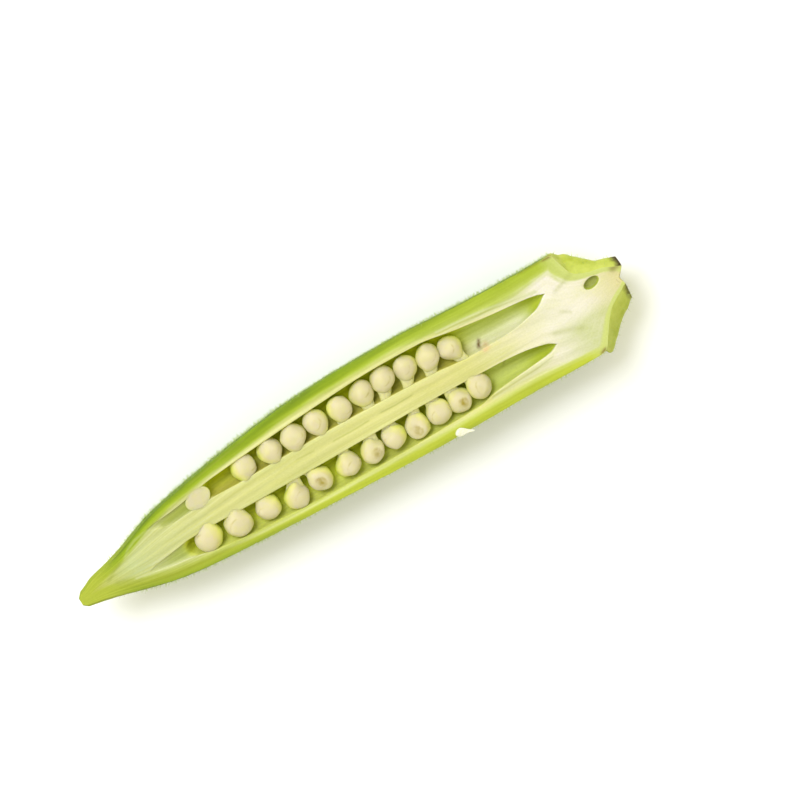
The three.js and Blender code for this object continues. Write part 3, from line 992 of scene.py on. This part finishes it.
def stalk_spot(share, around):
    """A place on a rod of unit length and radius towards -X. It narrows to a waist and widens at
    its root, which is closed. Its other end is open inside the seed."""
    end = min(1.0, STALK_ROOT_BLUNTNESS * (1 - share))
    waist = STALK_TOP - STALK_NARROWS_BY * smooth_step(share, *STALK_NARROWS)
    waist += STALK_ROOT_FLARE * share**6
    return around * end * waist - Vector((share, 0, 0))


def seed_spot(kind, polar, turn, way):
    """A place on a seed of unit radius with its beak towards -X, and how far the coat is open."""
    reach = 1 + BEAK_LENGTH * math.exp(-((polar / BEAK_HALF_WIDTH) ** 2))
    reach += SEED_LUMPS * math.sin(3 * turn + 1) * math.sin(2 * polar)
    off_top, heading = way.angle(SEED_TOP), math.atan2(way.y, way.x)
    # The pit is how brown the coat is there
    pit = 0.0
    if kind == "whole":
        fold = top_groove(off_top, heading, *FOLD)
        reach -= FOLD_DEPTH * fold
        pit = 0.5 * fold
    if kind == "opened":
        bowl = math.exp(-((off_top / BOWL_HALF_WIDTH) ** 6))
        lip = top_groove(off_top, heading, *LIP)
        off_slit = (way.x - SLIT_MIDDLE[0]) / SLIT_RADII[0], (way.y - SLIT_MIDDLE[1]) / SLIT_RADII[1]
        slit = math.exp(-(off_slit[0] ** 2) - off_slit[1] ** 2) if way.z > 0 else 0.0
        reach -= BOWL_DEPTH * bowl + SLIT_DEPTH * slit + LIP_DEPTH * lip
        pit = 0.3 * bowl + 0.55 * slit + 0.6 * lip
    spot = way * reach
    if kind == "sliced":
        spot.z = min(spot.z, SLICED_SEED_RISE * spot.z)
    return spot, pit


def ball_mesh(name, kind):
    """One shape of the rows, about its own middle: a whole, opened or sliced seed, or a stalk."""
    vertices, crown, dent = [], [], []
    for i in range(SEED_RINGS + 1):
        for j in range(SEED_SIDES):
            polar, turn = math.pi * i / SEED_RINGS, 2 * math.pi * j / SEED_SIDES
            around = Vector((0, math.cos(turn), math.sin(turn)))
            way = math.sin(polar) * around - Vector((math.cos(polar), 0, 0))
            if kind == "stalk":
                spot, pit = stalk_spot(1 - i / SEED_RINGS, around), 0.0
            else:
                spot, pit = seed_spot(kind, polar, turn, way)
            vertices.append(tuple(spot))
            # How far a place faces up, which picks the coat's colour: cream on top and yellow-green on
            # the sides, partly the coat's own greener rim and partly painted light that lifts the shade
            # on the sides
            crowns = {"stalk": 0.1 + 0.35 * way.z, "sliced": 0.1 + 0.8 * way.z}
            crown.append(crowns.get(kind, way.z))
            dent.append(pit)
    faces = []
    for i in range(SEED_RINGS):
        for j in range(SEED_SIDES):
            a, b = i * SEED_SIDES + j, i * SEED_SIDES + (j + 1) % SEED_SIDES
            faces.append((a, b, b + SEED_SIDES, a + SEED_SIDES))
    ball = new_piece(name, vertices, faces)
    point_values(ball, "crown", crown)
    point_values(ball, "dent", dent)
    merge = ball.modifiers.new("merge the two poles", "WELD")
    merge.merge_threshold = 0.0005
    return ball


def seed_coat():
    """Unripe okra seed: a moist, slightly translucent cream coat over milky flesh, greener and lighter
    low down where the coat turns away, partly painted light that lifts the shade there, and brownish in
    its fold and where the knife opened it."""
    material, tree, shader = new_material("okra_seed_coat")
    place = add_node(tree, "ShaderNodeTexCoord").outputs["Object"]
    crown, dent = (
        add_node(tree, "ShaderNodeAttribute", attribute_name=name).outputs["Fac"]
        for name in ("crown", "dent")
    )
    # Pale patches in the coat, about 1 mm wide, and their grain
    patch = add_node(
        tree, "ShaderNodeTexNoise", {"Vector": place, "Scale": 900.0, "Detail": 6.0, "Roughness": 0.65}
    ).outputs["Fac"]
    # The milky flesh shows through in yellower patches, about 1.5 mm wide
    milky = add_node(
        tree, "ShaderNodeTexNoise", {"Vector": place, "Scale": 650.0, "Detail": 3.0}
    ).outputs["Fac"]
    lift = add_node(
        tree, "ShaderNodeMath", {0: patch, 1: 0.6, 2: crown}, operation="MULTIPLY_ADD"
    ).outputs[0]
    # Painted light: the low stops, for sides that face away from the top, are a lighter yellow-green to
    # lift their shade
    coat = add_node(
        tree,
        "ShaderNodeValToRGB",
        {0: lift},
        ((0.1, "#ccd456"), (0.36, "#d8d874"), (0.54, "#d6d284"), (0.74, "#cfc88e"), (0.9, "#cdc49e")),
    ).outputs[0]
    opened = add_node(tree, "ShaderNodeMath", {0: milky, 1: dent}, operation="MULTIPLY").outputs[0]
    for source, start, end, strength, colour in (
        (milky, 0.45, 0.62, 0.45, "#cdc88c"),
        (opened, 0.1, 0.5, 1.0, "#a4943c"),
    ):
        share = add_node(
            tree, "ShaderNodeMapRange", {0: source, 1: start, 2: end, 3: 0.0, 4: strength}
        ).outputs[0]
        coat = add_node(
            tree, "ShaderNodeMix", {0: share, 6: coat, 7: linear(colour)}, data_type="RGBA"
        ).outputs[2]
    bump = add_node(
        tree, "ShaderNodeBump", {"Strength": 0.4, "Distance": 0.00025, "Height": patch}
    ).outputs[0]
    feed(tree, shader, {
        "Base Color": coat,
        "Normal": bump,
        "Roughness": 0.6,
        "Specular IOR Level": 0.25,
        "Subsurface Weight": 0.7,
        "Subsurface Radius": (1.0, 0.9, 0.45),
        "Subsurface Scale": 0.0024,
    })
    return material


def geometry_tree(name, inputs):
    """An empty geometry tree with named inputs, and the sockets that bring them in."""
    tree = bpy.data.node_groups.new(name, "GeometryNodeTree")
    for socket, kind in inputs.items():
        tree.interface.new_socket(socket, in_out="INPUT", socket_type="NodeSocket" + kind)
    tree.interface.new_socket("Geometry", in_out="OUTPUT", socket_type="NodeSocketGeometry")
    return tree, add_node(tree, "NodeGroupInput").outputs


def row_setting():
    """Nodes that set a shape on each point of a row, turned and sized by the row's own values."""
    tree, given = geometry_tree("set_in_a_row", {
        "Geometry": "Geometry",
        "Shape": "Object",
        "Size spread": "Float",
        "Unevenness": "Float",
        "Lump scale": "Float",
        "Draw": "Int",
        "Coat": "Material",
    })
    shape = add_node(tree, "GeometryNodeObjectInfo", {"Object": given["Shape"]}).outputs["Geometry"]
    turn, size = (
        add_node(
            tree, "GeometryNodeInputNamedAttribute", {"Name": name}, data_type="FLOAT_VECTOR"
        ).outputs["Attribute"]
        for name in ("turn", "size")
    )
    least, most = (
        add_node(
            tree, "ShaderNodeMath", {0: 1.0, 1: given["Size spread"]}, operation=operation
        ).outputs[0]
        for operation in ("SUBTRACT", "ADD")
    )
    spread = add_node(
        tree,
        "FunctionNodeRandomValue",
        {0: (0.0, 0.0, 0.0), 1: (1.0, 1.0, 1.0), "Seed": given["Draw"]},
        data_type="FLOAT_VECTOR",
    ).outputs[0]
    sized = add_node(
        tree,
        "ShaderNodeMapRange",
        {"Vector": spread, 9: least, 10: most},
        data_type="FLOAT_VECTOR",
    ).outputs[1]
    scale = add_node(
        tree, "ShaderNodeVectorMath", {0: size, 1: sized}, operation="MULTIPLY"
    ).outputs[0]
    turned = add_node(tree, "FunctionNodeEulerToRotation", {0: turn}).outputs[0]
    placed = add_node(
        tree,
        "GeometryNodeInstanceOnPoints",
        {"Points": given["Geometry"], "Instance": shape, "Rotation": turned, "Scale": scale},
    ).outputs[0]
    real = add_node(tree, "GeometryNodeRealizeInstances", {0: placed}).outputs[0]
    lumps = add_node(
        tree, "ShaderNodeTexNoise", {"Scale": given["Lump scale"], "Detail": 1.0}
    ).outputs["Color"]
    centred = add_node(
        tree, "ShaderNodeVectorMath", {0: lumps, 1: (0.5, 0.5, 0.5)}, operation="SUBTRACT"
    ).outputs[0]
    shift = add_node(
        tree, "ShaderNodeVectorMath", {0: centred, 3: given["Unevenness"]}, operation="SCALE"
    ).outputs[0]
    uneven = add_node(tree, "GeometryNodeSetPosition", {"Geometry": real, "Offset": shift}).outputs[0]
    coated = add_node(
        tree, "GeometryNodeSetMaterial", {"Geometry": uneven, "Material": given["Coat"]}
    ).outputs[0]
    add_node(tree, "NodeGroupOutput", {0: coated})
    return tree


def set_inputs(modifier, values):
    """Gives a modifier's inputs by the identifiers of its tree's sockets."""
    for item in modifier.node_group.interface.items_tree:
        if item.in_out == "INPUT" and item.name in values:
            modifier[item.identifier] = values[item.name]


def grown(name, source):
    """The evaluated shape of an object, as a plain mesh piece inside the part's size."""
    depsgraph = bpy.context.evaluated_depsgraph_get()
    mesh = bpy.data.meshes.new_from_object(source.evaluated_get(depsgraph), depsgraph=depsgraph)
    mesh.name = name
    piece = bpy.data.objects.new(name, mesh)
    bpy.context.scene.collection.objects.link(piece)
    bpy.data.objects.remove(source)
    keep_inside(piece)
    return piece


def finish_piece(piece):
    """Everything on the half grew as one with it and stays where it is."""
    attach(piece, "root")
    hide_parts("okra_pod_half")


coat = seed_coat()
setting = row_setting()
all_places = seed_places(FAR_ROW, FAR_CHAMBER) + seed_places(NEAR_ROW, NEAR_CHAMBER)
whole = [(middle, way, (radius,) * 3) for middle, radius, way, is_open in all_places if not is_open]
opened = [(middle, way, (radius,) * 3) for middle, radius, way, is_open in all_places if is_open]
sliced = [(Vector(SLICED_SEED), Vector(SLICED_SEED_WAY), SLICED_SEED_RADII)]
stalks = [(m, way, (way.length, STALK_WIDTH, STALK_HEIGHT)) for m, _, way, _ in all_places]
for name, kind, row, spread, unevenness in (
    ("okra_seeds_whole", "whole", whole, 0.05, 0.9),
    ("okra_seeds_opened", "opened", opened, 0.05, 0.9),
    ("okra_seed_sliced", "sliced", sliced, 0.0, 0.08),
    ("okra_seed_stalks", "stalk", stalks, 0.12, 0.25),
):
    points_in_row = new_piece(name + "_row", to_frame([middle for middle, _, _ in row]), [])
    turns = points_in_row.data.attributes.new("turn", "FLOAT_VECTOR", "POINT")
    sizes = points_in_row.data.attributes.new("size", "FLOAT_VECTOR", "POINT")
    for k, (_, way, size) in enumerate(row):
        outward = -way.normalized()
        side = Vector((0, 0, 1)).cross(outward).normalized()
        rolled = Matrix.Rotation(0 if kind in ("sliced", "stalk") else SEED_ROLL * draw(), 3, "X")
        upright = Matrix((outward, side, outward.cross(side))).transposed()
        turns.data[k].vector = (upright @ rolled).to_euler()
        sizes.data[k].vector = Vector(size) * MM
    shape = ball_mesh(name + "_shape", kind)
    modifier = points_in_row.modifiers.new("set in a row", "NODES")
    modifier.node_group = setting
    set_inputs(modifier, {
        "Shape": shape,
        "Size spread": spread,
        "Unevenness": unevenness * MM,
        "Lump scale": LUMP_SCALE,
        "Draw": SIZE_DRAW,
        "Coat": coat,
    })
    seeds = grown(name, points_in_row)
    bpy.data.objects.remove(shape)
    finish_piece(seeds)

# The skin's hairs: short, stiff, colourless to pale green bristles, which grow all over the skin and
# make it velvety. They grow from the skin and are thinner on the cap, and none is left underneath.
# Real hairs are about 0.03 mm thick. They are drawn thicker, so that they show.
HAIRS_PER_MM2 = 8
HAIR_LENGTH = 0.74
HAIR_THICKNESS = 0.07
HAIR_SIZES = (0.5, 1.3)
HAIR_LEAN = (0.7, 0.7, 3.1)
HAIR_DRAW = 5
HAIRS_START = (4, 18)
HAIRS_ABOVE = (-12.2, -11)
CAP_BARENESS = 0.9
hairy = np.where(on_top, 0.0, smooth_step(flat_z, *HAIRS_ABOVE))
hair_share = 1 - CAP_BARENESS * smooth_step(stations, CAP_START, CAP_START + 2)
hair_share = hair_share * smooth_step(stations, *HAIRS_START)
hairy = hairy * hair_share[:, None]
hairy[:, 0] = hairy[:, SKIN_SIDES] = hair_share
point_values(pod, "hairy", np.concatenate([hairy.reshape(-1), [0.0, 0.0]]))


def hair_growth():
    """Nodes that grow bristles on a surface where its own values say that it is hairy."""
    tree, given = geometry_tree("grow_hairs", {
        "Geometry": "Geometry",
        "Density": "Float",
        "Length": "Float",
        "Base radius": "Float",
        "Draw": "Int",
        "Hair": "Material",
    })
    hairy_here = add_node(
        tree, "GeometryNodeInputNamedAttribute", {"Name": "hairy"}, data_type="FLOAT"
    ).outputs["Attribute"]
    density = add_node(
        tree, "ShaderNodeMath", {0: hairy_here, 1: given["Density"]}, operation="MULTIPLY"
    ).outputs[0]
    roots = add_node(
        tree,
        "GeometryNodeDistributePointsOnFaces",
        {"Mesh": given["Geometry"], "Density": density, "Seed": given["Draw"]},
    )
    upright = add_node(
        tree, "FunctionNodeAlignRotationToVector", {"Vector": roots.outputs["Normal"]}, axis="Z"
    ).outputs[0]
    lean = add_node(
        tree,
        "FunctionNodeRandomValue",
        {0: [-most for most in HAIR_LEAN], 1: HAIR_LEAN, "Seed": given["Draw"]},
        data_type="FLOAT_VECTOR",
    ).outputs[0]
    lean = add_node(tree, "FunctionNodeEulerToRotation", {0: lean}).outputs[0]
    leaning = add_node(
        tree, "FunctionNodeRotateRotation", {0: upright, 1: lean}, rotation_space="LOCAL"
    ).outputs[0]
    size = add_node(
        tree,
        "FunctionNodeRandomValue",
        {2: HAIR_SIZES[0], 3: HAIR_SIZES[1], "Seed": given["Draw"]},
        data_type="FLOAT",
    ).outputs[1]
    bristle = add_node(
        tree,
        "GeometryNodeMeshCone",
        {
            "Vertices": 3,
            "Radius Top": 0.0,
            "Radius Bottom": given["Base radius"],
            "Depth": given["Length"],
        },
        fill_type="NONE",
    ).outputs["Mesh"]
    placed = add_node(
        tree,
        "GeometryNodeInstanceOnPoints",
        {
            "Points": roots.outputs["Points"],
            "Instance": bristle,
            "Rotation": leaning,
            "Scale": size,
        },
    ).outputs[0]
    real = add_node(tree, "GeometryNodeRealizeInstances", {0: placed}).outputs[0]
    coloured = add_node(
        tree, "GeometryNodeSetMaterial", {"Geometry": real, "Material": given["Hair"]}
    ).outputs[0]
    add_node(tree, "NodeGroupOutput", {0: coloured})
    return tree


def hair_wall():
    """A bristle's cell wall: thin, clear cellulose that looks pale green in bulk."""
    material, tree, shader = new_material("okra_skin_hair")
    feed(tree, shader, {"Base Color": linear("#a9bd60"), "Roughness": 0.6})
    return material


skin_copy = bpy.data.objects.new("hair_roots", pod.data.copy())
bpy.context.scene.collection.objects.link(skin_copy)
modifier = skin_copy.modifiers.new("grow hairs", "NODES")
modifier.node_group = hair_growth()
set_inputs(modifier, {
    "Density": HAIRS_PER_MM2 / MM**2,
    "Length": HAIR_LENGTH * MM,
    "Base radius": HAIR_THICKNESS / 2 * MM,
    "Draw": HAIR_DRAW,
    "Hair": hair_wall(),
})
hairs = grown("okra_skin_hairs", skin_copy)
finish_piece(hairs)

# The crumb: a torn bit of white pith that the knife left hanging on the near edge of the cut. It is
# one lump with a thin tail, and moist pith sticks to the flesh by itself. Its sections: x, y, radius.
CRUMB_SECTIONS = (
    (73.7, -8.6, 0.12),
    (73.85, -8.62, 0.45),
    (74.2, -8.66, 0.74),
    (74.7, -8.75, 0.86),
    (75.2, -8.95, 0.7),
    (75.7, -9.2, 0.44),
    (76.2, -9.45, 0.3),
    (76.7, -9.7, 0.22),
    (77.1, -9.85, 0.1),
)
CRUMB_SIDES = 20
CRUMB_FLATNESS = 0.6
CRUMB_LIFT = 0.05
crumb_vertices, crumb_faces = [], []
for x, y, radius in CRUMB_SECTIONS:
    for j in range(CRUMB_SIDES):
        turn = 2 * math.pi * j / CRUMB_SIDES
        reach = radius * (1 + 0.1 * math.sin(3 * turn + 2 * x) + 0.06 * math.sin(5 * turn - 3 * x))
        sideways, height = reach * math.cos(turn), CRUMB_FLATNESS * reach * math.sin(turn)
        crumb_vertices.append((x + 0.4 * sideways, y + 0.92 * sideways, height + CRUMB_LIFT))
for k in range(len(CRUMB_SECTIONS) - 1):
    for j in range(CRUMB_SIDES):
        a, b = k * CRUMB_SIDES + j, k * CRUMB_SIDES + (j + 1) % CRUMB_SIDES
        crumb_faces.append((a, a + CRUMB_SIDES, b + CRUMB_SIDES, b))
crumb_faces.append(tuple(range(CRUMB_SIDES)))
crumb_faces.append(tuple(range(len(crumb_vertices) - 1, len(crumb_vertices) - CRUMB_SIDES - 1, -1)))


def white_pith():
    """Torn pith: white, spongy and moist cells."""
    material, tree, shader = new_material("okra_white_pith")
    place = add_node(tree, "ShaderNodeTexCoord").outputs["Object"]
    # Spongy pores, about 0.3 mm wide
    sponge = add_node(
        tree, "ShaderNodeTexNoise", {"Vector": place, "Scale": 3000.0, "Detail": 4.0}
    ).outputs["Fac"]
    colour = add_node(
        tree, "ShaderNodeValToRGB", {0: sponge}, ((0.3, "#dcdcb4"), (0.6, "#ecebda"))
    ).outputs[0]
    bump = add_node(
        tree, "ShaderNodeBump", {"Strength": 0.6, "Distance": 0.0002, "Height": sponge}
    ).outputs[0]
    feed(tree, shader, {
        "Base Color": colour,
        "Normal": bump,
        "Roughness": 0.6,
        "Subsurface Weight": 0.3,
        "Subsurface Radius": (1.0, 1.0, 0.7),
        "Subsurface Scale": 0.0006,
    })
    return material


lump = new_piece("torn_lump", to_frame(crumb_vertices), crumb_faces)
lump.data.materials.append(white_pith())
rounded = lump.modifiers.new("rounded", "SUBSURF")
rounded.levels = rounded.render_levels = 2
crumb = grown("okra_pith_crumb", lump)
finish_piece(crumb)

# The floor and the light: a plain white sheet under broad soft light from above the far side, and
# the camera square to the photograph's view of the cut, from a little over the far side.
FLOOR_HALF = 1.5
ROOM_COLOUR = (1, 0.98, 0.8, 1)
ROOM_STRENGTH = 0.86
KEY_PLACE = Vector((-0.15, 0.45, 0.6))
KEY_SIZE = 0.35
KEY_POWER = 4.7
KEY_COLOUR = (0.85, 0.87, 1)
CAMERA_DISTANCE = 0.55
CAMERA_TILT = math.radians(14)
SENSOR_WIDTH = 36
PICTURE_TURN = math.radians(30.73)
PICTURE_WIDTH = 0.1444
PICTURE_MIDDLE = (68.2, 2.14, 0.0)

corners = [(FLOOR_HALF * a, FLOOR_HALF * b, 0) for a, b in ((-1, -1), (1, -1), (1, 1), (-1, 1))]
floor = new_piece("white_sheet", corners, [(0, 1, 2, 3)])
paper, tree, shader = new_material("white_paper")
feed(tree, shader, {"Base Color": linear("#fdfdfc"), "Roughness": 0.9})
floor.data.materials.append(paper)

world = bpy.data.worlds.new("white_room")
world.use_nodes = True
sky = world.node_tree.nodes["Background"]
feed(world.node_tree, sky, {"Color": ROOM_COLOUR, "Strength": ROOM_STRENGTH})
bpy.context.scene.world = world
bpy.context.scene.view_settings.view_transform = "Standard"

lamp = bpy.data.lights.new("key_light", "AREA")
lamp.size = KEY_SIZE
lamp.energy = KEY_POWER
lamp.color = KEY_COLOUR
key_light = bpy.data.objects.new("key_light", lamp)
key_light.location = KEY_PLACE
key_light.rotation_euler = (-KEY_PLACE).to_track_quat("-Z", "Y").to_euler()
bpy.context.scene.collection.objects.link(key_light)

camera = bpy.data.objects.new("camera", bpy.data.cameras.new("camera"))
towards_camera = Vector((0, math.sin(CAMERA_TILT), math.cos(CAMERA_TILT)))
across = Vector((0, math.cos(CAMERA_TILT), -math.sin(CAMERA_TILT)))
right = Vector((math.cos(PICTURE_TURN), 0, 0)) - math.sin(PICTURE_TURN) * across
up = towards_camera.cross(right)
target = Vector(to_frame(PICTURE_MIDDLE))
camera.matrix_world = Matrix.Translation(target + CAMERA_DISTANCE * towards_camera) @ (
    Matrix((right, up, towards_camera)).transposed().to_4x4()
)
camera.data.sensor_width = SENSOR_WIDTH
camera.data.lens = SENSOR_WIDTH * CAMERA_DISTANCE / PICTURE_WIDTH
camera.data.clip_start = 0.01
bpy.context.scene.collection.objects.link(camera)
bpy.context.scene.camera = camera
